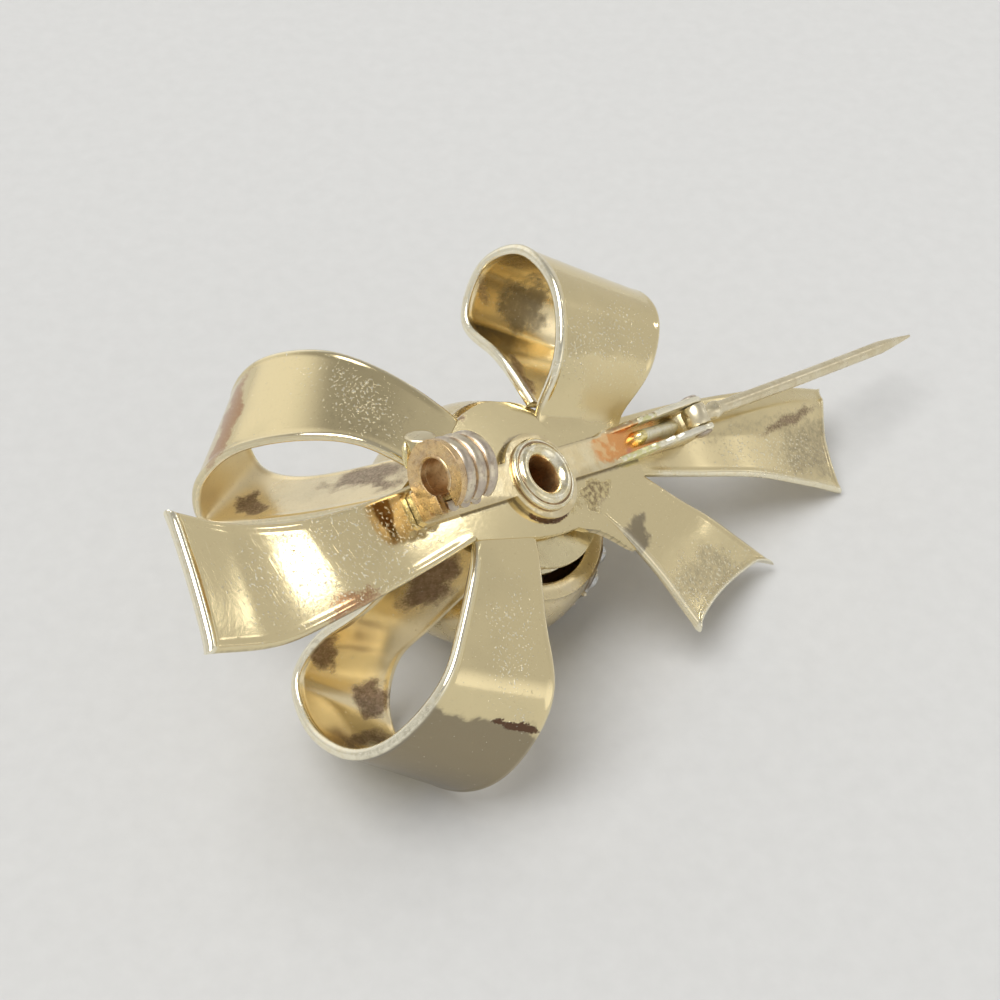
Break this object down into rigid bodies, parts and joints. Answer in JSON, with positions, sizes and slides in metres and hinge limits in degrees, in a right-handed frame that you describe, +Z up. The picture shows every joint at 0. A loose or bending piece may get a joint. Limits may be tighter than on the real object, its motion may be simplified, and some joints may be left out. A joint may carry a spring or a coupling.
{
  "type": "bow brooch",
  "caption": "Ribbon bow brooch of gold-tone sheet lying on its front, its back shown with a riveted pin bar, an open hinged pin and a rolling safety catch.",
  "frame": {"origin": "middle of the object's box, on the floor that the brooch lies on", "axes": "+Z up from the floor; the brooch lies on its front; +X to the right in the picture's view, +Y away from that view"},
  "size_m": [0.0598, 0.0549, 0.032],
  "materials": {
    "sheet": "polished gold-tone sheet, pale and slightly tarnished",
    "bar": "worn gold-tone plating over copper colour",
    "rivet": "polished gold-tone with a copper-coloured bore",
    "stem": "drawn wire, pale gold-tone",
    "fitting": "worn nickel silver",
    "band": "pinkish gold-tone, turned",
    "knot": "polished gold-tone",
    "stone": "clear faceted paste"
  },
  "bodies": {
    "brooch": {"hub_plate": "sheet", "loop_upper_left": "sheet", "loop_lower_left": "sheet", "loop_upper_right": "sheet", "tail_left": "sheet", "tail_right": "sheet", "tail_lower": "sheet", "pin_bar": "bar", "hinge_pin": "fitting", "catch_tube": "bar", "rivet": "rivet", "front_plate": "band", "knot_dome": "knot", "stones": "stone"},
    "pin": {"pin_stem": "stem"},
    "sleeve": {"catch_sleeve": "fitting"}
  },
  "joints": [
    {"name": "pin_hinge", "type": "hinge", "parent": "brooch", "child": "pin", "pos_m": [0.00873, 0.00926, 0.01269], "axis": [0.4188, -0.7347, -0.5337], "range_deg": [0, 163]},
    {"name": "catch_turn", "type": "hinge", "parent": "brooch", "child": "sleeve", "pos_m": [-0.00987, -0.00838, 0.02415], "axis": [0.6698, 0.6468, -0.3647], "range_deg": [0, 95]}
  ]
}
